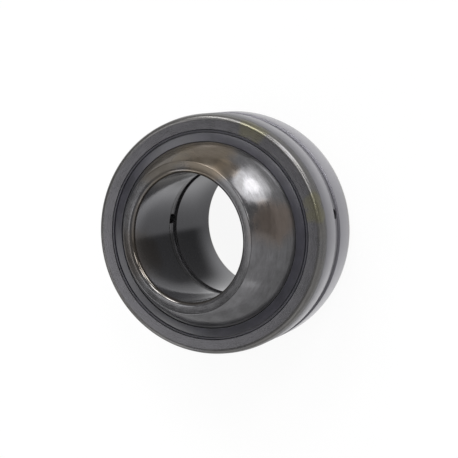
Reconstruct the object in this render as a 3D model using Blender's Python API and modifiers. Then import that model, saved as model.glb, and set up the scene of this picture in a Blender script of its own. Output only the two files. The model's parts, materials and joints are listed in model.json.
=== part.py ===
"""Sealed radial spherical plain bearing, 25 x 47 x 28 mm.

Two steel rings slide on one ball surface. The inner ring is the ball, with a plain bore
and a lubrication groove. The outer ring is the socket, with a lubrication groove outside.
A lip seal is snapped into each side of the outer ring and runs on the ball.
The origin is the centre of the ball, and +Z is the axis of the inner ring, which stands
on its rear face. The outer ring and its seals are tilted on the ball about +Y.
"""

import math

import bmesh
import bpy

MM = 0.001

# Main dimensions, from the bore outwards
BORE_DIAMETER = 25.0 * MM
INNER_WIDTH = 28.0 * MM
INNER_FACE_WALL = 2.269 * MM
OUTER_WIDTH = 18.0 * MM
OUTER_WALL = 2.85 * MM
OUTER_FACE_WALL = 3.05 * MM

# Tilt of the outer ring at rest, in degrees
REST_TILT = 11.0

# Clearances between pieces that touch
RACEWAY_CLEARANCE = 0.3 * MM
SEAL_CLEARANCE = 0.2 * MM
LIP_CLEARANCE = 0.3 * MM

# Inner ring
BORE_CORNER_RADIUS = 1.0 * MM
BALL_EDGE_RADIUS = 0.35 * MM
BORE_GROOVE_WIDTH = 2.6 * MM
BORE_GROOVE_DEPTH = 0.45 * MM
INNER_HOLE_DIAMETER = 2.0 * MM
INNER_HOLE_AZIMUTH = 168.0

# Outer ring
OUTER_CORNER_RADIUS = 1.1 * MM
LEAD_IN_LENGTH = 2.2 * MM
LEAD_IN_ANGLE = 8.0
OUTER_GROOVE_WIDTH = 3.5 * MM
OUTER_GROOVE_DEPTH = 0.5 * MM
OUTER_HOLE_DIAMETER = 2.0 * MM
OUTER_HOLE_AZIMUTH = 6.0
HOLES_PER_RING = 2
DRILL_OVERRUN = 0.5 * MM

# Seal recess in each side of the outer ring
RECESS_DEPTH = 1.9 * MM
UNDERCUT_DEPTH = 0.55 * MM
UNDERCUT_HEIGHT = 1.3 * MM

# Seal
SEAL_SINK = 0.1 * MM
BEAD_WIDTH = 0.25 * MM
SEAL_GROOVE_WIDTH = 0.25 * MM
SEAL_GROOVE_DEPTH = 0.25 * MM
LIP_RISE = 0.4 * MM
LIP_TIP_WIDTH = 0.12 * MM
LIP_CONTACT = 0.45 * MM
LIP_RELIEF = 0.15 * MM
LIP_SPACING = 0.8 * MM
SEAL_FOOT_WIDTH = 0.95 * MM

# Faceting
SEGMENTS = 60
BALL_STEPS = 14
RACEWAY_STEPS = 7
CORNER_STEPS = 4
GROOVE_STEPS = 4
EDGE_STEPS = 2
HOLE_SEGMENTS = 16
SMOOTH_ANGLE = 20.0

# Radii that follow from the main dimensions: the ball meets the inner ring's end faces
# at the outer edge of their wall, and the outer ring is built up on the ball
BALL_RADIUS = math.hypot(BORE_DIAMETER / 2 + INNER_FACE_WALL, INNER_WIDTH / 2)
RACEWAY_RADIUS = BALL_RADIUS + RACEWAY_CLEARANCE
OUTSIDE_RADIUS = RACEWAY_RADIUS + OUTER_WALL
MOUTH_RADIUS = OUTSIDE_RADIUS - OUTER_FACE_WALL

COLLECTION_NAME = "spherical_plain_bearing"
CUTTER_COLLECTION_NAME = "cutters"


def clear_scene():
    """Remove every object of the start-up scene."""
    for obj in list(bpy.data.objects):
        bpy.data.objects.remove(obj, do_unlink=True)


def new_collection(name):
    """A collection linked to the scene."""
    collection = bpy.data.collections.new(name)
    bpy.context.scene.collection.children.link(collection)
    return collection


def new_material(name, color, metallic, roughness):
    """A Principled BSDF material of one colour."""
    material = bpy.data.materials.new(name)
    material.use_nodes = True
    shader = material.node_tree.nodes["Principled BSDF"]
    shader.inputs["Base Color"].default_value = (*color, 1.0)
    shader.inputs["Metallic"].default_value = metallic
    shader.inputs["Roughness"].default_value = roughness
    return material


def radius_at(sphere_radius, height):
    """Distance from the axis to a sphere at a height above its centre."""
    return math.sqrt(sphere_radius**2 - height**2)


def arc(center, radius, start, end, steps):
    """Points (radius, height) on an arc, its angles in degrees above the radial direction."""
    points = []
    for i in range(steps + 1):
        angle = math.radians(start + (end - start) * i / steps)
        points.append((center[0] + radius * math.cos(angle), center[1] + radius * math.sin(angle)))
    return points


def groove_arc(surface_radius, width, depth, inward):
    """Points of a round-bottomed groove, down the outside if it is cut inward, else up a bore."""
    radius = ((width / 2) ** 2 + depth**2) / (2 * depth)
    reach = math.degrees(math.asin(width / 2 / radius))
    if inward:
        center = (surface_radius - depth + radius, 0.0)
        return arc(center, radius, 180.0 - reach, 180.0 + reach, GROOVE_STEPS)
    center = (surface_radius + depth - radius, 0.0)
    return arc(center, radius, -reach, reach, GROOVE_STEPS)


def mirrored(points):
    """The same points below the middle plane, in reverse order."""
    return [(radius, -height) for radius, height in reversed(points)]


def inner_ring_section():
    """Closed section of the inner ring: down the ball, then up the bore."""
    half = INNER_WIDTH / 2
    bore_radius = BORE_DIAMETER / 2
    edge_height = half - BALL_EDGE_RADIUS
    edge_reach = BALL_RADIUS - BALL_EDGE_RADIUS
    edge_center = (radius_at(edge_reach, edge_height), edge_height)
    edge_angle = math.degrees(math.asin(edge_height / edge_reach))
    edge = arc(edge_center, BALL_EDGE_RADIUS, 90.0, edge_angle, EDGE_STEPS)[:-1]
    ball = arc((0.0, 0.0), BALL_RADIUS, edge_angle, -edge_angle, BALL_STEPS)
    corner_center = (bore_radius + BORE_CORNER_RADIUS, half - BORE_CORNER_RADIUS)
    corner = arc(corner_center, BORE_CORNER_RADIUS, 180.0, 90.0, CORNER_STEPS)
    groove = groove_arc(bore_radius, BORE_GROOVE_WIDTH, BORE_GROOVE_DEPTH, inward=False)
    return edge + ball + mirrored(edge) + mirrored(corner) + groove + corner


def outer_ring_corner():
    """Points from the end face round the corner and down the tapered lead-in to the outside."""
    half = OUTER_WIDTH / 2
    angle = math.radians(LEAD_IN_ANGLE)
    taper_top = half - OUTER_CORNER_RADIUS * (1.0 - math.sin(angle))
    taper_end = half - LEAD_IN_LENGTH
    taper_radius = OUTSIDE_RADIUS - (taper_top - taper_end) * math.tan(angle)
    center = (taper_radius - OUTER_CORNER_RADIUS * math.cos(angle), half - OUTER_CORNER_RADIUS)
    corner = arc(center, OUTER_CORNER_RADIUS, 90.0, LEAD_IN_ANGLE, CORNER_STEPS)
    return corner + [(OUTSIDE_RADIUS, taper_end)]


def outer_ring_section():
    """Closed section of the outer ring: down the outside, then up the raceway."""
    half = OUTER_WIDTH / 2
    corner = outer_ring_corner()
    groove = groove_arc(OUTSIDE_RADIUS, OUTER_GROOVE_WIDTH, OUTER_GROOVE_DEPTH, inward=True)
    recess_floor = half - RECESS_DEPTH
    raceway_angle = math.degrees(math.asin(recess_floor / RACEWAY_RADIUS))
    raceway = arc((0.0, 0.0), RACEWAY_RADIUS, -raceway_angle, raceway_angle, RACEWAY_STEPS)
    undercut_radius = MOUTH_RADIUS + UNDERCUT_DEPTH
    undercut_top = recess_floor + UNDERCUT_HEIGHT
    recess = [
        (undercut_radius, recess_floor),
        (undercut_radius, undercut_top - UNDERCUT_DEPTH),
        (MOUTH_RADIUS, undercut_top),
        (MOUTH_RADIUS, half),
    ]
    return corner + groove + mirrored(corner) + mirrored(recess) + raceway + recess


def seal_section():
    """Closed section of the upper seal: down its face and bead, then up its two lips."""
    half = OUTER_WIDTH / 2
    lip_radius = BALL_RADIUS + LIP_CLEARANCE
    neck_radius = MOUTH_RADIUS - SEAL_CLEARANCE
    bead_radius = neck_radius + UNDERCUT_DEPTH
    foot = half - RECESS_DEPTH + SEAL_CLEARANCE
    # The snap flank is at 45 degrees and lies the clearance away from the undercut's
    flank_top = half - RECESS_DEPTH + UNDERCUT_HEIGHT - SEAL_CLEARANCE * (math.sqrt(2) - 1)
    face = half - SEAL_SINK
    tip = half + LIP_RISE
    groove_outer = neck_radius - BEAD_WIDTH
    groove_inner = groove_outer - SEAL_GROOVE_WIDTH
    groove_floor = face - SEAL_GROOVE_DEPTH
    outer_lip_base = tip - LIP_CONTACT
    inner_lip_top = outer_lip_base - LIP_SPACING
    relief_height = outer_lip_base - LIP_SPACING / 2
    inner_lip_base = inner_lip_top - LIP_CONTACT
    return [
        (radius_at(lip_radius, tip), tip),
        (radius_at(lip_radius, tip) + LIP_TIP_WIDTH, tip),
        (groove_inner, face),
        (groove_inner, groove_floor),
        (groove_outer, groove_floor),
        (groove_outer, face),
        (neck_radius, face),
        (neck_radius, flank_top),
        (bead_radius, flank_top - UNDERCUT_DEPTH),
        (bead_radius, foot),
        (bead_radius - SEAL_FOOT_WIDTH, foot),
        (radius_at(lip_radius, inner_lip_base), inner_lip_base),
        (radius_at(lip_radius, inner_lip_top), inner_lip_top),
        (radius_at(lip_radius + LIP_RELIEF, relief_height), relief_height),
        (radius_at(lip_radius, outer_lip_base), outer_lip_base),
    ]


def link(obj, collection, parent=None):
    """Put an object in a collection and under its parent."""
    collection.objects.link(obj)
    obj.parent = parent
    return obj


def turned_mesh(name, section):
    """The mesh of a closed section at +X turned round Z with a Screw modifier."""
    outline = bpy.data.meshes.new(name + "_section")
    count = len(section)
    vertices = [(radius, 0.0, height) for radius, height in section]
    outline.from_pydata(vertices, [(i, (i + 1) % count) for i in range(count)], [])
    turner = bpy.data.objects.new(name + "_section", outline)
    bpy.context.scene.collection.objects.link(turner)
    screw = turner.modifiers.new("turn", "SCREW")
    screw.axis = "Z"
    screw.angle = math.tau
    screw.steps = SEGMENTS
    screw.render_steps = SEGMENTS
    screw.use_merge_vertices = True
    screw.merge_threshold = 0.001 * MM
    depsgraph = bpy.context.evaluated_depsgraph_get()
    mesh = bpy.data.meshes.new_from_object(turner.evaluated_get(depsgraph))
    bpy.data.objects.remove(turner, do_unlink=True)
    bpy.data.meshes.remove(outline)
    mesh.name = name
    mesh.shade_smooth()
    mesh.set_sharp_from_angle(angle=math.radians(SMOOTH_ANGLE))
    return mesh


def new_piece(name, mesh, material, collection, parent):
    """A named piece of the bearing with its own material."""
    if not mesh.materials:
        mesh.materials.append(material)
    return link(bpy.data.objects.new(name, mesh), collection, parent)


def drill(piece, diameter, azimuth, start_radius, end_radius, cutters):
    """Cut the radial lubrication holes, spaced evenly round a ring from one azimuth."""
    for i in range(HOLES_PER_RING):
        mesh = bpy.data.meshes.new(piece.name + "_drill")
        cylinder = bmesh.new()
        bmesh.ops.create_cone(
            cylinder,
            cap_ends=True,
            segments=HOLE_SEGMENTS,
            radius1=diameter / 2,
            radius2=diameter / 2,
            depth=end_radius - start_radius,
        )
        cylinder.to_mesh(mesh)
        cylinder.free()
        cutter = link(bpy.data.objects.new(f"{piece.name}_drill_{i + 1}", mesh), cutters, piece.parent)
        angle = math.radians(azimuth) + math.tau * i / HOLES_PER_RING
        middle = (start_radius + end_radius) / 2
        cutter.location = (middle * math.cos(angle), middle * math.sin(angle), 0.0)
        cutter.rotation_euler = (0.0, math.pi / 2, angle)
        cutter.display_type = "WIRE"
        cutter.hide_render = True
        cut = piece.modifiers.new(f"lubrication_hole_{i + 1}", "BOOLEAN")
        cut.operation = "DIFFERENCE"
        cut.solver = "EXACT"
        cut.object = cutter


def build_inner_ring(collection, cutters):
    """The ball with its bore, groove and holes, upright on the bearing's axis."""
    steel = new_material("inner_ring_phosphated_steel", (0.105, 0.1, 0.098), 0.75, 0.36)
    ring = new_piece("inner_ring", turned_mesh("inner_ring", inner_ring_section()), steel, collection, None)
    start = BORE_DIAMETER / 2 - DRILL_OVERRUN
    drill(ring, INNER_HOLE_DIAMETER, INNER_HOLE_AZIMUTH, start, BALL_RADIUS + DRILL_OVERRUN, cutters)
    return ring


def build_outer_ring(collection, cutters, tilt):
    """The socket ring, tilted with its parent about the centre of the ball."""
    steel = new_material("outer_ring_phosphated_steel", (0.12, 0.118, 0.122), 0.75, 0.4)
    ring = new_piece("outer_ring", turned_mesh("outer_ring", outer_ring_section()), steel, collection, tilt)
    start = RACEWAY_RADIUS - DRILL_OVERRUN
    drill(ring, OUTER_HOLE_DIAMETER, OUTER_HOLE_AZIMUTH, start, OUTSIDE_RADIUS + DRILL_OVERRUN, cutters)
    return ring


def build_seals(collection, tilt):
    """The two like seals, the rear one turned over, tilted with the outer ring."""
    rubber = new_material("seal_rubber", (0.035, 0.035, 0.042), 0.0, 0.45)
    mesh = turned_mesh("lip_seal", seal_section())
    front = new_piece("front_seal", mesh, rubber, collection, tilt)
    rear = new_piece("rear_seal", mesh, rubber, collection, tilt)
    rear.rotation_euler = (math.pi, 0.0, 0.0)
    return front, rear


def build_bearing():
    """Model the whole bearing."""
    clear_scene()
    collection = new_collection(COLLECTION_NAME)
    cutters = new_collection(CUTTER_COLLECTION_NAME)
    tilt = link(bpy.data.objects.new("outer_ring_tilt", None), collection)
    tilt.rotation_euler = (0.0, math.radians(REST_TILT), 0.0)
    build_inner_ring(collection, cutters)
    build_outer_ring(collection, cutters, tilt)
    build_seals(collection, tilt)


build_bearing()
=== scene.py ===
"""A sealed radial spherical plain bearing, dressed and lit as in its photograph.

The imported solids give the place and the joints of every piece. Each piece is turned again
here on the same sizes, with fine curves, and gets the finish of the real one.
Lengths are in metres. A section is a list of (radius, height) points round a ring's axis.
"""

import json
import logging
import math
from dataclasses import dataclass, field
from enum import Enum
from typing import Any

import bmesh
import bpy
from mathutils import Matrix, Vector


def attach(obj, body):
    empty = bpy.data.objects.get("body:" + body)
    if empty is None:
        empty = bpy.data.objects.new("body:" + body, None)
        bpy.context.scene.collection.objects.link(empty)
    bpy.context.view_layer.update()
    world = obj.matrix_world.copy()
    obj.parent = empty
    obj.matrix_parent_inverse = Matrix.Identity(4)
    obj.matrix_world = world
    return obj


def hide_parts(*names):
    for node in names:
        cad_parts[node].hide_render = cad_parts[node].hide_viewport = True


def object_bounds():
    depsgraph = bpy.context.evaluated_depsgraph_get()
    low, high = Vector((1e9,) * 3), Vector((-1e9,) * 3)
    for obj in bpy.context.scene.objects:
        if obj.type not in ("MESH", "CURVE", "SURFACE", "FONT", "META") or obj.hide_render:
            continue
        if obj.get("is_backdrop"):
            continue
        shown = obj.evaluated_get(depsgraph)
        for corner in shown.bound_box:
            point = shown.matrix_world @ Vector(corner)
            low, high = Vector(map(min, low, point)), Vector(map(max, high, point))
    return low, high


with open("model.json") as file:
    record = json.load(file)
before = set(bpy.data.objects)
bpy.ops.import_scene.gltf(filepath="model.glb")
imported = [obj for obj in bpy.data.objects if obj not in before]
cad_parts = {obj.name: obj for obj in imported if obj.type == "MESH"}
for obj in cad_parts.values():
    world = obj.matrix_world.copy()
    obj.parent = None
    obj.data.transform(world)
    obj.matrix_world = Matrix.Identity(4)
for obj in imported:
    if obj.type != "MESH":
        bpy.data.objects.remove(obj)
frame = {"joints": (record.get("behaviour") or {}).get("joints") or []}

MM = 0.001
log = logging.getLogger("bearing")

Point = tuple[float, float]
Section = list[Point]
Color = tuple[float, float, float]
Direction = tuple[float, float, float]

NEARLY_STRAIGHT = math.radians(88.0)
MOST_OF_A_SIDE = 0.45
MIDDLE = 0.5


def arc(center: Point, radius: float, start: float, end: float, steps: int) -> Section:
    """Points along an arc of a section.

    Args:
        center: Centre of the arc.
        radius: Radius of the arc.
        start: First angle in degrees, counted up from the radial direction.
        end: Last angle in degrees.
        steps: Number of straight steps.

    Returns:
        The points from start to end.
    """
    angles = [math.radians(start + (end - start) * i / steps) for i in range(steps + 1)]
    return [(center[0] + radius * math.cos(a), center[1] + radius * math.sin(a)) for a in angles]


def across(ball_radius: float, height: float) -> float:
    """Distance from the axis to a ball's surface at a height above its centre."""
    return math.sqrt(ball_radius**2 - height**2)


def below(section: Section) -> Section:
    """The mirror image of a section under the middle plane, in reverse order."""
    return [(radius, -height) for radius, height in reversed(section)]


def eased(corners: list[tuple[Point, float]], steps: int = 4) -> Section:
    """A closed outline with its corners rounded.

    Args:
        corners: Each corner point with its rounding radius, in order.
        steps: Number of straight steps in each rounding.

    Returns:
        The points of the rounded outline.
    """
    outline: Section = []
    for i, (corner, radius) in enumerate(corners):
        here = Vector(corner)
        back = Vector(corners[i - 1][0]) - here
        ahead = Vector(corners[(i + 1) % len(corners)][0]) - here
        half_angle = back.angle(ahead) / 2
        if radius <= 0.0 or half_angle > NEARLY_STRAIGHT:
            outline.append(corner)
            continue
        shorter = min(MOST_OF_A_SIDE * back.length, MOST_OF_A_SIDE * ahead.length)
        reach = min(radius / math.tan(half_angle), shorter)
        first = here + back.normalized() * reach
        last = here + ahead.normalized() * reach
        for j in range(steps + 1):
            t = j / steps
            point = first.lerp(here, t).lerp(here.lerp(last, t), t)
            outline.append((point.x, point.y))
    return outline


class SealSide(Enum):
    """The side of the bearing that a seal closes, with the node that the seal stands for."""

    FRONT = "front_seal"
    REAR = "rear_seal"


class Socket:
    """An output of a node, which Python's operators turn into further nodes."""

    def __init__(self, graph: "Graph", output: bpy.types.NodeSocket) -> None:
        """Wrap one output of a graph's node."""
        self.graph = graph
        self.output = output

    def __add__(self, other: "Socket | float") -> "Socket":
        """Sum with a number or a socket."""
        return self.graph.math("ADD", self, other)

    def __radd__(self, other: "Socket | float") -> "Socket":
        """Sum with a number on the left."""
        return self.graph.math("ADD", other, self)

    def __sub__(self, other: "Socket | float") -> "Socket":
        """Difference from a number or a socket."""
        return self.graph.math("SUBTRACT", self, other)

    def __rsub__(self, other: "Socket | float") -> "Socket":
        """Difference from a number on the left."""
        return self.graph.math("SUBTRACT", other, self)

    def __mul__(self, other: "Socket | float") -> "Socket":
        """Product with a number or a socket."""
        return self.graph.math("MULTIPLY", self, other)

    def __rmul__(self, other: "Socket | float") -> "Socket":
        """Product with a number on the left."""
        return self.graph.math("MULTIPLY", other, self)


class Graph:
    """The node tree of a material or of the world, filled from Python expressions."""

    def __init__(self, owner: bpy.types.Material | bpy.types.World) -> None:
        """Switch the owner's nodes on and clear them."""
        owner.use_nodes = True
        self.tree = owner.node_tree
        self.tree.nodes.clear()

    def node(self, kind: str, settings: dict[str, Any], inputs: dict[Any, Any]) -> bpy.types.Node:
        """Add a node.

        Args:
            kind: The node's type, without its ShaderNode prefix.
            settings: Its settings, which are made first.
            inputs: Values or sockets for its inputs, by name or number.

        Returns:
            The new node.
        """
        node = self.tree.nodes.new("ShaderNode" + kind)
        for name, setting in settings.items():
            setattr(node, name, setting)
        for key, value in inputs.items():
            if isinstance(value, Socket):
                self.tree.links.new(value.output, node.inputs[key])
            elif isinstance(value, bpy.types.NodeSocket):
                self.tree.links.new(value, node.inputs[key])
            else:
                node.inputs[key].default_value = value
        return node

    def math(self, operation: str, *values: Any) -> Socket:
        """A Math node on numbers and sockets."""
        node = self.node("Math", {"operation": operation}, dict(enumerate(values)))
        return Socket(self, node.outputs[0])

    def vector(self, operation: str, *values: Any) -> Socket:
        """A Vector Math node whose result is a vector."""
        node = self.node("VectorMath", {"operation": operation}, dict(enumerate(values)))
        return Socket(self, node.outputs["Vector"])

    def scaled(self, vector: Socket, factor: Any) -> Socket:
        """A vector or colour times a number."""
        inputs = {0: vector, "Scale": factor}
        node = self.node("VectorMath", {"operation": "SCALE"}, inputs)
        return Socket(self, node.outputs["Vector"])

    def measure(self, operation: str, *values: Any) -> Socket:
        """A Vector Math node whose result is a number, such as a length."""
        node = self.node("VectorMath", {"operation": operation}, dict(enumerate(values)))
        return Socket(self, node.outputs["Value"])

    def fade(self, value: Any, start: float, end: float) -> Socket:
        """A smooth step of a value.

        Args:
            value: The socket that runs from start to end.
            start: Where the result is 0.
            end: Where the result is 1, above or below start.

        Returns:
            The step, between 0 and 1.
        """
        settings = {"interpolation_type": "SMOOTHSTEP", "clamp": True}
        if start < end:
            inputs = {"Value": value, "From Min": start, "From Max": end}
            return Socket(self, self.node("MapRange", settings, inputs).outputs[0])
        inputs = {"Value": value, "From Min": end, "From Max": start}
        return 1.0 - Socket(self, self.node("MapRange", settings, inputs).outputs[0])

    def blend(self, factor: Any, first: Any, second: Any) -> Socket:
        """A Mix node on colours.

        Args:
            factor: Share of the second colour.
            first: Colour or socket.
            second: Colour or socket.

        Returns:
            The mixed colour.
        """
        first = (*first, 1.0) if isinstance(first, tuple) else first
        second = (*second, 1.0) if isinstance(second, tuple) else second
        inputs = {0: factor, 6: first, 7: second}
        return Socket(self, self.node("Mix", {"data_type": "RGBA"}, inputs).outputs[2])

    def noise(self, at: Socket, scale: float, detail: float, rough: float) -> Socket:
        """A Noise texture's value.

        Args:
            at: Where it is read.
            scale: Its frequency.
            detail: Number of finer layers.
            rough: Weight of the finer layers.

        Returns:
            The value, about 0.5 in the middle.
        """
        inputs = {"Vector": at, "Scale": scale, "Detail": detail, "Roughness": rough}
        return Socket(self, self.node("TexNoise", {}, inputs).outputs[0])

    def position(self, tilt: float = 0.0) -> Socket:
        """The place on the piece, in metres.

        Args:
            tilt: Angle in radians by which the piece lies tilted about Y.

        Returns:
            The place counted from the ball's centre, along and across the piece's own axis.
        """
        place = self.node("TexCoord", {}, {}).outputs["Object"]
        if tilt == 0.0:
            return Socket(self, place)
        inputs = {"Vector": place, "Angle": -tilt}
        return Socket(self, self.node("VectorRotate", {"rotation_type": "Y_AXIS"}, inputs).outputs[0])

    def split(self, vector: Socket) -> tuple[Socket, Socket, Socket]:
        """The three parts of a vector."""
        outputs = self.node("SeparateXYZ", {}, {0: vector}).outputs
        return Socket(self, outputs[0]), Socket(self, outputs[1]), Socket(self, outputs[2])

    def join(self, x: Any, y: Any, z: Any) -> Socket:
        """A vector from three numbers or sockets."""
        return Socket(self, self.node("CombineXYZ", {}, {0: x, 1: y, 2: z}).outputs[0])

    def bump(self, height: Socket, depth: float, over: Socket | None = None) -> Socket:
        """A bumped normal.

        Args:
            height: Relief between 0 and 1.
            depth: Depth of the relief.
            over: Normal that is bumped further.

        Returns:
            The normal.
        """
        inputs: dict[str, Any] = {"Height": height, "Strength": 1.0, "Distance": depth}
        if over is not None:
            inputs["Normal"] = over
        return Socket(self, self.node("Bump", {}, inputs).outputs[0])

    def surface(self, inputs: dict[str, Any]) -> None:
        """A Principled BSDF with these inputs, as the material's surface."""
        shader = self.node("BsdfPrincipled", {}, inputs)
        self.node("OutputMaterial", {}, {"Surface": shader.outputs[0]})


@dataclass(frozen=True)
class Stain:
    """A soft-edged patch of another colour, round one direction from the ball's centre.

    Azimuth and latitude give its middle and reach its radius, all in degrees. Strength is the
    share of its colour, and dull is taken from the metal's share.
    """

    azimuth: float
    latitude: float
    reach: float
    color: Color
    strength: float
    dull: float = 0.0
    core_share: float = 0.25

    def mask(self, graph: Graph, heading: Socket, drift: Socket) -> Socket:
        """How much of the patch shows.

        Args:
            graph: The material's graph.
            heading: Unit vector from the ball's centre.
            drift: Number that frays the edge.

        Returns:
            A value between 0 and its strength.
        """
        turn, rise = math.radians(self.azimuth), math.radians(self.latitude)
        middle = (math.cos(rise) * math.cos(turn), math.cos(rise) * math.sin(turn), math.sin(rise))
        facing = graph.measure("DOT_PRODUCT", heading, middle)
        edge = math.cos(math.radians(self.reach))
        core = math.cos(math.radians(self.reach * self.core_share))
        return graph.fade(facing + drift * (core - edge), edge, core) * self.strength


@dataclass(frozen=True)
class Band:
    """A ring-shaped zone of another colour, between two radii and two heights.

    Soft is half the width of its edges. Gloss is taken from the roughness, and patchy is the
    share of the zone that comes and goes with the clouds.
    """

    radii: Point
    heights: Point
    soft: float
    color: Color
    strength: float
    gloss: float = 0.0
    patchy: float = 1.0

    def mask(self, graph: Graph, radius: Socket, height: Socket, clouds: Socket) -> Socket:
        """How much of the zone shows.

        Args:
            graph: The material's graph.
            radius: Distance from the axis.
            height: Height above the middle plane, counted without its sign.
            clouds: Share of the zone that shows where it is patchy.

        Returns:
            A value between 0 and its strength.
        """
        inner = graph.fade(radius, self.radii[0] - self.soft, self.radii[0] + self.soft)
        outer = graph.fade(radius, self.radii[1] + self.soft, self.radii[1] - self.soft)
        low = graph.fade(height, self.heights[0] - self.soft, self.heights[0] + self.soft)
        high = graph.fade(height, self.heights[1] + self.soft, self.heights[1] - self.soft)
        worn = 1.0 - self.patchy + clouds * self.patchy
        return inner * outer * low * high * worn * self.strength


@dataclass(frozen=True)
class PhosphatedSteel:
    """Dark phosphated bearing steel: a matt crystal skin over turned or ground metal.

    The mottle is the uneven skin, the clouds are its broad changes, the grain is its crystals,
    and the streaks are the marks of turning. The weights choose between dark and light, a gloss
    is a change of the roughness, and a fray is how far the edges of the stains wander.
    """

    name: str
    dark: Color
    light: Color
    metallic: float = 0.8
    roughness: float = 0.3
    mottle_size: float = 3.0 * MM
    grain_size: float = 0.16 * MM
    grain_depth: float = 0.004 * MM
    streak_depth: float = 0.0025 * MM
    streak_tone: float = 0.3
    streak_gloss: float = 0.1
    mottle_gloss: float = 0.08
    cloud_scale: float = 0.25
    streak_stretch: float = 0.05
    mottle_weight: float = 0.5
    grain_weight: float = 0.2
    streak_weight: float = 0.3
    skin_edges: Point = (0.38, 0.64)
    cloud_fray: float = 1.4
    mottle_fray: float = 0.9
    streak_fray: float = 0.7
    cover_edges: Point = (0.55, 1.15)
    least_rough: float = 0.12
    stains: tuple[Stain, ...] = ()
    bands: tuple[Band, ...] = ()

    def material(self, tilt: float = 0.0) -> bpy.types.Material:
        """The finish as a material, on a piece that lies tilted by an angle about Y."""
        made = bpy.data.materials.new(self.name)
        graph = Graph(made)
        place = graph.position(tilt)
        x, y, z = graph.split(place)
        radius = graph.measure("LENGTH", graph.join(x, y, 0.0))
        height = graph.math("ABSOLUTE", z)
        heading = graph.vector("NORMALIZE", place)
        mottle = graph.noise(place, 1.0 / self.mottle_size, detail=4.0, rough=0.6)
        clouds = graph.noise(place, self.cloud_scale / self.mottle_size, detail=2.0, rough=0.5)
        along = graph.join(x * self.streak_stretch, y * self.streak_stretch, radius + z)
        streaks = graph.noise(along, 1.0 / self.grain_size, detail=3.0, rough=0.7)
        grain = graph.noise(place, 1.0 / self.grain_size, detail=3.0, rough=0.65)
        skin = mottle * self.mottle_weight + grain * self.grain_weight + streaks * self.streak_weight
        color = graph.blend(graph.fade(skin, *self.skin_edges), self.dark, self.light)
        fray = (clouds - MIDDLE) * self.cloud_fray + (mottle - MIDDLE) * self.mottle_fray
        fray = fray + (streaks - MIDDLE) * self.streak_fray
        rough = self.roughness + (mottle - MIDDLE) * self.mottle_gloss
        rough = rough + (streaks - MIDDLE) * self.streak_gloss
        cover = graph.fade(clouds + mottle, *self.cover_edges)
        for band in self.bands:
            share = band.mask(graph, radius, height, cover)
            color = graph.blend(share, color, band.color)
            rough = rough - share * band.gloss
        metal: Socket | float = self.metallic
        for stain in self.stains:
            share = stain.mask(graph, heading, fray)
            color = graph.blend(share, color, stain.color)
            metal = metal - share * stain.dull
        tone = 1.0 + (streaks - MIDDLE) * self.streak_tone
        normal = graph.bump(streaks, self.streak_depth, graph.bump(grain, self.grain_depth))
        graph.surface(
            {
                "Base Color": graph.scaled(color, tone),
                "Metallic": metal,
                "Roughness": graph.math("MAXIMUM", rough, self.least_rough),
                "Normal": normal,
            }
        )
        return made


@dataclass(frozen=True)
class SealRubber:
    """Moulded blue-black seal rubber with a faint flow grain and clouds of dust."""

    name: str = "seal_rubber"
    dark: Color = (0.011, 0.0105, 0.016)
    light: Color = (0.02, 0.019, 0.028)
    shine: float = 0.75
    roughness: float = 0.3
    grain_size: float = 0.2 * MM
    grain_depth: float = 0.006 * MM
    flow_stretch: float = 0.2
    cloud_scale: float = 350.0
    cloud_weight: float = 0.6
    flow_weight: float = 0.4
    dust_edges: Point = (0.35, 0.68)
    cloud_gloss: float = 0.05
    flow_gloss: float = 0.08
    grain_relief: float = 0.6
    flow_relief: float = 0.4

    def material(self, tilt: float = 0.0) -> bpy.types.Material:
        """The finish as a material, on a piece that lies tilted by an angle about Y."""
        made = bpy.data.materials.new(self.name)
        graph = Graph(made)
        place = graph.position(tilt)
        x, y, z = graph.split(place)
        radius = graph.measure("LENGTH", graph.join(x, y, 0.0))
        along = graph.join(x * self.flow_stretch, y * self.flow_stretch, radius + z)
        flow = graph.noise(along, 1.0 / self.grain_size, detail=3.0, rough=0.6)
        grain = graph.noise(place, 1.0 / self.grain_size, detail=4.0, rough=0.65)
        cloud = graph.noise(place, self.cloud_scale, detail=3.0, rough=0.5)
        dust = graph.fade(cloud * self.cloud_weight + flow * self.flow_weight, *self.dust_edges)
        color = graph.blend(dust, self.dark, self.light)
        rough = self.roughness + (cloud - MIDDLE) * self.cloud_gloss + (flow - MIDDLE) * self.flow_gloss
        normal = graph.bump(grain * self.grain_relief + flow * self.flow_relief, self.grain_depth)
        graph.surface(
            {
                "Base Color": color,
                "Metallic": 0.0,
                "Specular IOR Level": self.shine,
                "Roughness": rough,
                "Normal": normal,
            }
        )
        return made


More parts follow.
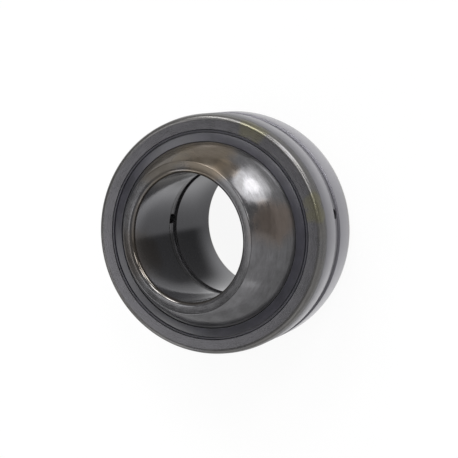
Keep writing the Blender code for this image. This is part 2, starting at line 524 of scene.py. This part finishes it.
@dataclass(frozen=True)
class Lathe:
    """Turns sections into ring meshes and drills them."""

    segments: int = 320
    hole_segments: int = 48
    sharp_angle: float = 32.0
    overshoot: float = 0.5 * MM

    def turn(self, name: str, section: Section) -> bpy.types.Object:
        """Turn a closed section round the Z axis.

        Args:
            name: Name of the ring.
            section: Its outline.

        Returns:
            The ring, in the scene.
        """
        count = len(section)
        angles = [math.tau * i / self.segments for i in range(self.segments)]
        points = [(r * math.cos(a), r * math.sin(a), z) for a in angles for r, z in section]
        faces = []
        for i in range(self.segments):
            here, there = i * count, (i + 1) % self.segments * count
            for j in range(count):
                k = (j + 1) % count
                faces.append((here + j, here + k, there + k, there + j))
        mesh = bpy.data.meshes.new(name)
        mesh.from_pydata(points, [], faces)
        shaped = bmesh.new()
        shaped.from_mesh(mesh)
        bmesh.ops.recalc_face_normals(shaped, faces=shaped.faces)
        shaped.to_mesh(mesh)
        shaped.free()
        self.smooth(mesh)
        ring = bpy.data.objects.new(name, mesh)
        bpy.context.scene.collection.objects.link(ring)
        return ring

    def smooth(self, mesh: bpy.types.Mesh) -> None:
        """Shade a mesh smooth except at its sharp edges."""
        mesh.shade_smooth()
        mesh.set_sharp_from_angle(angle=math.radians(self.sharp_angle))

    def drill(self, ring: bpy.types.Object, radius: float, azimuth: float, wall: Point) -> None:
        """Drill a plain radial hole through a ring.

        Args:
            ring: The ring, before it is moved.
            radius: Radius of the hole.
            azimuth: Its direction in degrees.
            wall: Inner and outer radius of the ring.
        """
        start, end = wall[0] - self.overshoot, wall[1] + self.overshoot
        cutter = bpy.data.meshes.new(ring.name + "_drill")
        shaped = bmesh.new()
        bmesh.ops.create_cone(
            shaped,
            cap_ends=True,
            segments=self.hole_segments,
            radius1=radius,
            radius2=radius,
            depth=end - start,
        )
        turn = math.radians(azimuth)
        middle = (start + end) / 2
        place = Matrix.Translation((middle * math.cos(turn), middle * math.sin(turn), 0.0))
        aim = Matrix.Rotation(turn, 4, "Z") @ Matrix.Rotation(math.pi / 2, 4, "Y")
        shaped.transform(place @ aim)
        shaped.to_mesh(cutter)
        shaped.free()
        tool = bpy.data.objects.new(cutter.name, cutter)
        bpy.context.scene.collection.objects.link(tool)
        cut = ring.modifiers.new("drill", "BOOLEAN")
        cut.operation, cut.solver, cut.object = "DIFFERENCE", "EXACT", tool
        graph = bpy.context.evaluated_depsgraph_get()
        drilled = bpy.data.meshes.new_from_object(ring.evaluated_get(graph))
        ring.modifiers.clear()
        plain, ring.data = ring.data, drilled
        bpy.data.meshes.remove(plain)
        bpy.data.objects.remove(tool, do_unlink=True)
        self.smooth(drilled)


@dataclass
class InnerRing:
    """The ball: two end faces, a plain bore with a lubrication groove, and two oil holes."""

    finish: PhosphatedSteel
    lathe: Lathe
    bore_radius: float = 12.5 * MM
    half_width: float = 14.0 * MM
    face_wall: float = 2.269 * MM
    bore_corner: float = 1.0 * MM
    ball_edge: float = 0.35 * MM
    groove_width: float = 2.6 * MM
    groove_depth: float = 0.45 * MM
    hole_radius: float = 1.0 * MM
    hole_azimuth: float = 168.0
    groove_steps: int = 16
    edge_steps: int = 6
    ball_steps: int = 72
    corner_steps: int = 14

    @property
    def ball_radius(self) -> float:
        """Radius of the ball, which meets the end faces at the edge of their wall."""
        return math.hypot(self.bore_radius + self.face_wall, self.half_width)

    def groove(self) -> Section:
        """The round-bottomed groove, up the bore."""
        radius = ((self.groove_width / 2) ** 2 + self.groove_depth**2) / (2 * self.groove_depth)
        reach = math.degrees(math.asin(self.groove_width / 2 / radius))
        center = (self.bore_radius + self.groove_depth - radius, 0.0)
        return arc(center, radius, -reach, reach, self.groove_steps)

    def section(self) -> Section:
        """The ring's outline: down the ball, then up the bore."""
        height = self.half_width - self.ball_edge
        reach = self.ball_radius - self.ball_edge
        rise = math.degrees(math.asin(height / reach))
        edge = arc((across(reach, height), height), self.ball_edge, 90.0, rise, self.edge_steps)[:-1]
        ball = arc((0.0, 0.0), self.ball_radius, rise, -rise, self.ball_steps)
        center = (self.bore_radius + self.bore_corner, self.half_width - self.bore_corner)
        corner = arc(center, self.bore_corner, 180.0, 90.0, self.corner_steps)
        return edge + ball + below(edge) + below(corner) + self.groove() + corner

    def build(self) -> bpy.types.Object:
        """Turn, drill and dress the ring."""
        ring = self.lathe.turn("ball_ring", self.section())
        wall = (self.bore_radius, self.ball_radius)
        for azimuth in (self.hole_azimuth, self.hole_azimuth + 180.0):
            self.lathe.drill(ring, self.hole_radius, azimuth, wall)
        ring.data.materials.clear()
        ring.data.materials.append(self.finish.material())
        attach(ring, "inner_ring")
        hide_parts("inner_ring")
        return ring


@dataclass
class OuterRing:
    """The socket ring, with rounded corners, a lubrication groove and a recess for each seal."""

    finish: PhosphatedSteel
    lathe: Lathe
    ball_radius: float
    tilt: float
    half_width: float = 9.0 * MM
    clearance: float = 0.3 * MM
    wall: float = 2.85 * MM
    face_wall: float = 3.05 * MM
    corner: float = 1.1 * MM
    lead_in: float = 2.2 * MM
    lead_in_angle: float = 8.0
    groove_width: float = 3.0 * MM
    groove_floor: float = 2.76 * MM
    groove_depth: float = 0.38 * MM
    hole_radius: float = 1.0 * MM
    hole_azimuth: float = 6.0
    recess_depth: float = 1.9 * MM
    undercut_depth: float = 0.55 * MM
    undercut_height: float = 1.3 * MM
    mouth_break: float = 0.06 * MM
    groove_land: float = 1.0 * MM
    groove_brim: float = 0.07 * MM
    groove_fillet: float = 0.1 * MM
    corner_steps: int = 14
    raceway_steps: int = 32

    @property
    def raceway_radius(self) -> float:
        """Radius of the hollow that slides on the ball."""
        return self.ball_radius + self.clearance

    @property
    def outside_radius(self) -> float:
        """Radius of the outside."""
        return self.raceway_radius + self.wall

    @property
    def mouth_radius(self) -> float:
        """Radius of the recess where it opens in the end face."""
        return self.outside_radius - self.face_wall

    def edge(self) -> Section:
        """From the end face round the corner and down the lead-in to the outside."""
        slope = math.radians(self.lead_in_angle)
        top = self.half_width - self.corner * (1.0 - math.sin(slope))
        end = self.half_width - self.lead_in
        radius = self.outside_radius - (top - end) * math.tan(slope)
        center = (radius - self.corner * math.cos(slope), self.half_width - self.corner)
        corner = arc(center, self.corner, 90.0, self.lead_in_angle, self.corner_steps)
        return corner + [(self.outside_radius, end)]

    def groove(self) -> Section:
        """The flat-bottomed groove with leaning walls, down the outside."""
        floor = self.outside_radius - self.groove_depth
        half, half_floor = self.groove_width / 2, self.groove_floor / 2
        upper = [
            ((self.outside_radius, half + self.groove_land), 0.0),
            ((self.outside_radius, half), self.groove_brim),
            ((floor, half_floor), self.groove_fillet),
            ((floor, 0.0), 0.0),
        ]
        upper = eased(upper)[1:]
        return upper + below(upper)[1:]

    def section(self) -> Section:
        """The ring's outline: down the outside, then up the raceway."""
        floor = self.half_width - self.recess_depth
        reach = math.degrees(math.asin(floor / self.raceway_radius))
        raceway = arc((0.0, 0.0), self.raceway_radius, -reach, reach, self.raceway_steps)
        hollow = self.mouth_radius + self.undercut_depth
        top = floor + self.undercut_height
        recess = [
            (hollow, floor),
            (hollow, top - self.undercut_depth),
            (self.mouth_radius, top),
            (self.mouth_radius, self.half_width - self.mouth_break),
            (self.mouth_radius + self.mouth_break, self.half_width),
        ]
        edge = self.edge()
        return edge + self.groove() + below(edge) + below(recess) + raceway + recess

    def build(self) -> bpy.types.Object:
        """Turn, drill, tilt and dress the ring."""
        ring = self.lathe.turn("socket_ring", self.section())
        wall = (self.raceway_radius, self.outside_radius)
        for azimuth in (self.hole_azimuth, self.hole_azimuth + 180.0):
            self.lathe.drill(ring, self.hole_radius, azimuth, wall)
        ring.data.materials.clear()
        ring.data.materials.append(self.finish.material(self.tilt))
        ring.data.transform(Matrix.Rotation(self.tilt, 4, "Y"))
        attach(ring, "outer_ring")
        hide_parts("outer_ring")
        return ring


@dataclass
class LipSeal:
    """A rubber seal with a ringed face, a snap bead and two lips that wipe the ball."""

    side: SealSide
    finish: bpy.types.Material
    lathe: Lathe
    ring: OuterRing
    sink: float = 0.1 * MM
    play: float = 0.07 * MM
    bead: float = 0.36 * MM
    groove_width: float = 0.22 * MM
    groove_depth: float = 0.3 * MM
    lip_gap: float = 0.08 * MM
    lip_rise: float = 0.4 * MM
    tip_width: float = 0.12 * MM
    lip_contact: float = 0.45 * MM
    lip_relief: float = 0.2 * MM
    lip_spacing: float = 0.8 * MM
    foot_width: float = 0.95 * MM
    tip_round: float = 0.14 * MM
    lip_round: float = 0.1 * MM
    groove_round: float = 0.06 * MM
    rim_round: float = 0.08 * MM
    bead_round: float = 0.1 * MM
    root_round: float = 0.05 * MM

    def section(self) -> Section:
        """The seal's outline: across its face, down its bead, then up its lips."""
        half = self.ring.half_width
        lip = self.ring.ball_radius + self.lip_gap
        neck = self.ring.mouth_radius - self.play
        bead = neck + self.ring.undercut_depth
        foot = half - self.ring.recess_depth + self.play
        flank = half - self.ring.recess_depth + self.ring.undercut_height
        flank -= self.play * (math.sqrt(2.0) - 1.0)
        face = half - self.sink
        tip = half + self.lip_rise
        outer = neck - self.bead
        inner = outer - self.groove_width
        upper = tip - self.lip_contact
        lower = upper - self.lip_spacing
        relief = upper - self.lip_spacing / 2
        root = lower - self.lip_contact
        return eased(
            [
                ((across(lip, tip), tip), self.tip_round),
                ((across(lip, tip) + self.tip_width, tip), self.lip_round),
                ((inner, face), self.groove_round),
                ((inner, face - self.groove_depth), 0.0),
                ((outer, face - self.groove_depth), 0.0),
                ((outer, face), self.groove_round),
                ((neck, face), self.rim_round),
                ((neck, flank), 0.0),
                ((bead, flank - self.ring.undercut_depth), self.bead_round),
                ((bead, foot), self.bead_round),
                ((bead - self.foot_width, foot), self.bead_round),
                ((across(lip, root), root), self.root_round),
                ((across(lip, lower), lower), 0.0),
                ((across(lip + self.lip_relief, relief), relief), 0.0),
                ((across(lip, upper), upper), 0.0),
            ]
        )

    def build(self) -> bpy.types.Object:
        """Turn, place and dress the seal."""
        seal = self.lathe.turn(self.side.value + "_ring", self.section())
        seal.data.materials.append(self.finish)
        flip = Matrix.Identity(4)
        if self.side is SealSide.REAR:
            flip = Matrix.Rotation(math.pi, 4, "X")
        seal.data.transform(Matrix.Rotation(self.ring.tilt, 4, "Y") @ flip)
        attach(seal, "seals")
        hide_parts(self.side.value)
        return seal


@dataclass
class Bearing:
    """The whole bearing, with the outer ring and the seals tilted on the ball as packed."""

    lathe: Lathe = field(default_factory=Lathe)
    ball_steel: PhosphatedSteel = PhosphatedSteel(
        name="ball_phosphated_steel",
        dark=(0.094, 0.093, 0.096),
        light=(0.134, 0.133, 0.139),
        mottle_size=2.6 * MM,
        grain_depth=0.002 * MM,
        roughness=0.16,
        mottle_gloss=0.14,
        streak_gloss=0.24,
        stains=(
            Stain(74.0, 38.0, 19.0, (0.108, 0.08, 0.046), 0.65, 0.2),
            Stain(108.0, 37.0, 22.0, (0.09, 0.074, 0.052), 0.65, 0.3),
            Stain(194.0, 42.0, 22.0, (0.07, 0.058, 0.047), 0.6),
            Stain(54.0, 38.0, 8.0, (0.15, 0.115, 0.078), 0.5, 0.2),
            Stain(8.0, 32.0, 17.0, (0.098, 0.074, 0.058), 0.75, 0.2),
        ),
        bands=(
            Band(
                radii=(12.3 * MM, 12.62 * MM),
                heights=(1.4 * MM, 13.2 * MM),
                soft=0.15 * MM,
                color=(0.112, 0.112, 0.12),
                strength=1.0,
                gloss=0.06,
                patchy=0.0,
            ),
            Band(
                radii=(12.4 * MM, 12.9 * MM),
                heights=(13.0 * MM, 14.1 * MM),
                soft=0.2 * MM,
                color=(0.1, 0.085, 0.065),
                strength=0.6,
                gloss=0.1,
                patchy=0.3,
            ),
        ),
    )
    ring_steel: PhosphatedSteel = PhosphatedSteel(
        name="socket_phosphated_steel",
        dark=(0.106, 0.104, 0.111),
        light=(0.13, 0.127, 0.137),
        roughness=0.28,
        grain_depth=0.0015 * MM,
        streak_tone=0.15,
        mottle_gloss=0.04,
        stains=tuple(
            Stain(azimuth, 20.3, 4.5, (0.15, 0.14, 0.075), 0.5) for azimuth in (8.0, 15.0, 58.0, 65.0)
        ),
        bands=(
            Band(
                radii=(22.3 * MM, 23.6 * MM),
                heights=(7.2 * MM, 9.1 * MM),
                soft=0.3 * MM,
                color=(0.12, 0.115, 0.095),
                strength=0.45,
            ),
            Band(
                radii=(23.0 * MM, 23.7 * MM),
                heights=(0.0, 6.75 * MM),
                soft=0.08 * MM,
                color=(0.172, 0.168, 0.188),
                strength=1.0,
                gloss=-0.05,
                patchy=0.0,
            ),
            Band(
                radii=(22.9 * MM, 23.38 * MM),
                heights=(0.0, 1.5 * MM),
                soft=0.08 * MM,
                color=(0.125, 0.122, 0.136),
                strength=0.8,
                gloss=-0.05,
                patchy=0.0,
            ),
        ),
    )
    rubber: SealRubber = SealRubber()

    @staticmethod
    def tilt() -> float:
        """How far the outer ring lies tilted about Y, read from the axis that it turns about."""
        turn = next(joint for joint in frame["joints"] if joint["child"] == "outer_ring")
        return math.atan2(turn["axis"][0], turn["axis"][2])

    def build(self) -> None:
        """Build every piece in order."""
        ball = InnerRing(self.ball_steel, self.lathe)
        socket = OuterRing(self.ring_steel, self.lathe, ball.ball_radius, self.tilt())
        rubber = self.rubber.material(socket.tilt)
        seals = [LipSeal(side, rubber, self.lathe, socket) for side in SealSide]
        for maker in (ball, socket, *seals):
            piece = maker.build()


@dataclass(frozen=True)
class SoftLamp:
    """A round, far studio lamp, which the steel mirrors as an even disc.

    Toward is its direction from the bearing, spread its width in degrees, and radiance the
    brightness of its disc.
    """

    name: str
    toward: Direction
    spread: float
    radiance: float

    def build(self) -> bpy.types.Object:
        """Make the lamp and aim it at the bearing."""
        lamp = bpy.data.lights.new(self.name, "SUN")
        lamp.angle = math.radians(self.spread)
        lamp.energy = self.radiance * math.pi * math.sin(lamp.angle / 2) ** 2
        hung = bpy.data.objects.new(self.name, lamp)
        hung.rotation_euler = Vector(self.toward).to_track_quat("Z", "Y").to_euler()
        bpy.context.scene.collection.objects.link(hung)
        return hung


@dataclass
class Studio:
    """The white table, the pale room, the soft lamps and the camera of the photograph.

    Mirror and glow are painted reflections that only the steel sees and no lamp casts: near the
    bearing, brighter to its sides, a painted shade ring round it, far off, a painted pool of light in
    the bore's window and painted light and shade under the table. A painted gleam of the side softbox
    lies far out on one side.
    """

    table_height: float
    table_size: float = 4.0
    table_color: Color = (0.93, 0.93, 0.93)
    table_glow: float = 0.92
    # Painted reflection: brightness of the table's zones, seen only by the steel, with a painted shade
    # ring.
    near_mirror: float = 1.1
    side_mirror: float = 1.43
    painted_shade_mirror: float = 0.5
    far_mirror: float = 0.76
    side_reach: Point = (3.0 * MM, 16.0 * MM)
    shade_radii: Point = (27.0 * MM, 33.0 * MM)
    # Painted pool of light in the bore's window, brighter towards -Y, seen only by the steel.
    bore_window: Point = (8.0 * MM, 12.0 * MM)
    painted_bore_glow: Point = (1.25, 0.6)
    bore_fade: Point = (-7.0 * MM, 0.0)
    # Painted light and painted shade of the room beneath, seen by the steel through the bore's window.
    under_horizon: Point = (-0.1, -0.2)
    under_split: Point = (-0.01, -0.13)
    painted_light_below: Point = (0.55, 1.8)
    under_lit_fade: Point = (0.6, -0.4)
    painted_shade_below: Point = (0.14, 0.6)
    under_dim_fade: Point = (0.05, -0.3)
    mirror_soft: float = 1.0 * MM
    # Painted reflection of the side softbox, far out on the table towards it, seen only by the steel.
    gleam: float = 3.6
    gleam_reach: Point = (90.0 * MM, 200.0 * MM)
    gleam_toward: Point = (0.65, 0.76)
    gleam_edge: Point = (0.95, 0.985)
    room: float = 0.27
    lens: float = 126.3
    clip: Point = (10.0 * MM, 20.0)
    camera_place: Direction = (172.895 * MM, 24.494 * MM, 266.856 * MM)
    camera_right: Direction = (0.84149, -0.06847, -0.53591)
    camera_up: Direction = (0.01674, 0.99476, -0.10082)
    lamps: tuple[SoftLamp, ...] = (
        SoftLamp("side_softbox", (0.65, 0.75, 0.06), 40.0, 5.0),
        SoftLamp("side_softbox_core", (0.65, 0.76, 0.1), 16.0, 6.0),
        SoftLamp("corner_lamp", (0.48, 0.56, 0.66), 14.0, 14.0),
        SoftLamp("corner_lamp_right", (0.66, 0.3, 0.69), 14.0, 9.0),
        SoftLamp("corner_lamp_high", (0.16, 0.76, 0.62), 16.0, 12.0),
        SoftLamp("corner_lamp_top", (-0.2, 0.87, 0.44), 16.0, 10.0),
        SoftLamp("face_lamp", (-0.28, -0.16, 0.95), 13.0, 2.2),
        SoftLamp("face_lamp_left", (-0.47, 0.0, 0.88), 13.0, 2.1),
        SoftLamp("upper_left_lamp", (-0.41, 0.44, 0.8), 26.0, 2.15),
        SoftLamp("left_lamp", (-0.79, -0.25, 0.56), 26.0, 1.65),
        SoftLamp("lower_left_lamp", (-0.58, -0.69, 0.44), 26.0, 2.7),
        SoftLamp("top_lamp", (-0.04, 0.91, 0.42), 26.0, 2.9),
        SoftLamp("right_screen", (0.79, -0.5, 0.34), 60.0, 0.66),
        SoftLamp("bottom_screen", (0.09, -0.98, 0.16), 60.0, 0.95),
    )

    @staticmethod
    def between(ends: Point, share: Socket) -> Socket:
        """The first of two numbers where the share is 0, and the second where it is 1."""
        return ends[0] + share * (ends[1] - ends[0])

    def mirrored(self, graph: Graph, x: Socket, y: Socket, radius: Socket) -> Socket:
        """How brightly the table shows in the steel: a painted reflection with painted light and shade
        zones.

        Args:
            graph: The table's graph.
            x: Place along the table.
            y: Place across the table.
            radius: Distance from the bearing's axis.

        Returns:
            The brightness.
        """
        soft = self.mirror_soft
        start, end = self.shade_radii
        aside = graph.fade(graph.math("ABSOLUTE", y), *self.side_reach)
        # Painted reflection near the bearing, brighter towards its sides.
        near = self.between((self.near_mirror, self.side_mirror), aside)
        shade = graph.fade(radius, start - soft, start + soft)
        far = graph.fade(radius, end - soft, end + soft)
        # Painted pool of light inside the bore's window, brighter towards -Y.
        inside = graph.fade(radius, self.bore_window[1] + soft, self.bore_window[1])
        bore = self.between(self.painted_bore_glow, graph.fade(y, *self.bore_fade))
        near = near + inside * (bore - near)
        # Painted shade ring round the bearing, fading out to the far brightness.
        middle = self.between((self.painted_shade_mirror, self.far_mirror), far)
        # Painted reflection of the side softbox, far out on the table towards it.
        toward = graph.math("DIVIDE", x * self.gleam_toward[0] + y * self.gleam_toward[1], radius)
        gleam = graph.fade(radius, *self.gleam_reach) * graph.fade(toward, *self.gleam_edge)
        return (1.0 - shade) * near + shade * middle + gleam * self.gleam

    def under(self, graph: Graph) -> Socket:
        """The room beneath, which only the bore's wall mirrors: painted light on one side, painted
        shade on the other.
        """
        heading = Socket(graph, graph.node("TexCoord", {}, {}).outputs["Generated"])
        x, y, _ = graph.split(heading)
        # Painted light where the heading points down towards -Y, painted shade elsewhere.
        lit = graph.fade(y, *self.under_split)
        bright = self.between(self.painted_light_below, graph.fade(x, *self.under_lit_fade))
        dim = self.between(self.painted_shade_below, graph.fade(x, *self.under_dim_fade))
        return lit * bright + (1.0 - lit) * dim

    def table(self) -> bpy.types.Object:
        """The white table that the bearing lies on, with a painted reflection: its own brightness in
        the steel's mirror.
        """
        mesh = bpy.data.meshes.new("table")
        shaped = bmesh.new()
        bmesh.ops.create_grid(shaped, x_segments=1, y_segments=1, size=self.table_size / 2)
        shaped.to_mesh(mesh)
        shaped.free()
        top = bpy.data.objects.new("table", mesh)
        top.location.z = self.table_height
        bpy.context.scene.collection.objects.link(top)
        made = bpy.data.materials.new("white_table")
        graph = Graph(made)
        rays = graph.node("LightPath", {}, {}).outputs
        seen = Socket(graph, rays["Is Camera Ray"]) + Socket(graph, rays["Is Transmission Ray"])
        mirrored = Socket(graph, rays["Is Glossy Ray"])
        x, y, _ = graph.split(graph.position())
        radius = graph.measure("LENGTH", graph.join(x, y, 0.0))
        paint = graph.node("BsdfDiffuse", {}, {"Color": (*self.table_color, 1.0)})
        # Glossy rays see only the painted reflection glow. The camera sees an even white.
        inputs = {"Color": seen + mirrored * self.mirrored(graph, x, y, radius), "Strength": 1.0}
        glow = graph.node("Emission", {}, inputs)
        inputs = {0: seen * self.table_glow + mirrored, 1: paint.outputs[0], 2: glow.outputs[0]}
        plain = graph.node("MixShader", {}, inputs)
        window = mirrored * graph.fade(radius, self.bore_window[1], self.bore_window[0])
        clear = graph.node("BsdfTransparent", {}, {})
        mixed = graph.node("MixShader", {}, {0: window, 1: plain.outputs[0], 2: clear.outputs[0]})
        graph.node("OutputMaterial", {}, {"Surface": mixed.outputs[0]})
        mesh.materials.append(made)
        top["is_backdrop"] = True
        return top

    def world(self) -> bpy.types.World:
        """The room, which is white to the camera and dim to the steel."""
        world = bpy.data.worlds.new("pale_room")
        bpy.context.scene.world = world
        graph = Graph(world)
        rays = graph.node("LightPath", {}, {}).outputs
        seen = Socket(graph, rays["Is Camera Ray"]) + Socket(graph, rays["Is Transmission Ray"])
        heading = Socket(graph, graph.node("TexCoord", {}, {}).outputs["Generated"])
        # Below the horizon the steel sees the painted light and shade of the room beneath.
        down = graph.fade(graph.split(heading)[2], *self.under_horizon)
        around = self.room + down * (self.under(graph) - self.room)
        inputs = {"Color": around + seen * (1.0 - around), "Strength": 1.0}
        background = graph.node("Background", {}, inputs)
        graph.node("OutputWorld", {}, {"Surface": background.outputs[0]})
        return world

    def camera(self) -> bpy.types.Object:
        """The camera at the photograph's view."""
        data = bpy.data.cameras.new("photo_camera")
        data.lens = self.lens
        data.clip_start, data.clip_end = self.clip
        camera = bpy.data.objects.new("photo_camera", data)
        right, up = Vector(self.camera_right).normalized(), Vector(self.camera_up)
        back = right.cross(up).normalized()
        frame_axes = Matrix((right, back.cross(right), back)).transposed().to_4x4()
        camera.matrix_world = Matrix.Translation(self.camera_place) @ frame_axes
        bpy.context.scene.collection.objects.link(camera)
        bpy.context.scene.camera = camera
        return camera

    def build(self) -> None:
        """Build the table, room, lamps and camera."""
        self.camera()
        self.table()
        self.world()
        for lamp in self.lamps:
            lamp.build()
        bpy.context.scene.view_settings.view_transform = "Standard"
        log.info("studio: %d lamps, table at %.1f mm", len(self.lamps), self.table_height / MM)


def main() -> None:
    """Build the bearing and its studio."""
    logging.basicConfig(level=logging.INFO, format="%(name)s: %(message)s")
    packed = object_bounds()
    Bearing().build()
    Studio(table_height=packed[0].z).build()


if __name__ == "__main__":
    main()
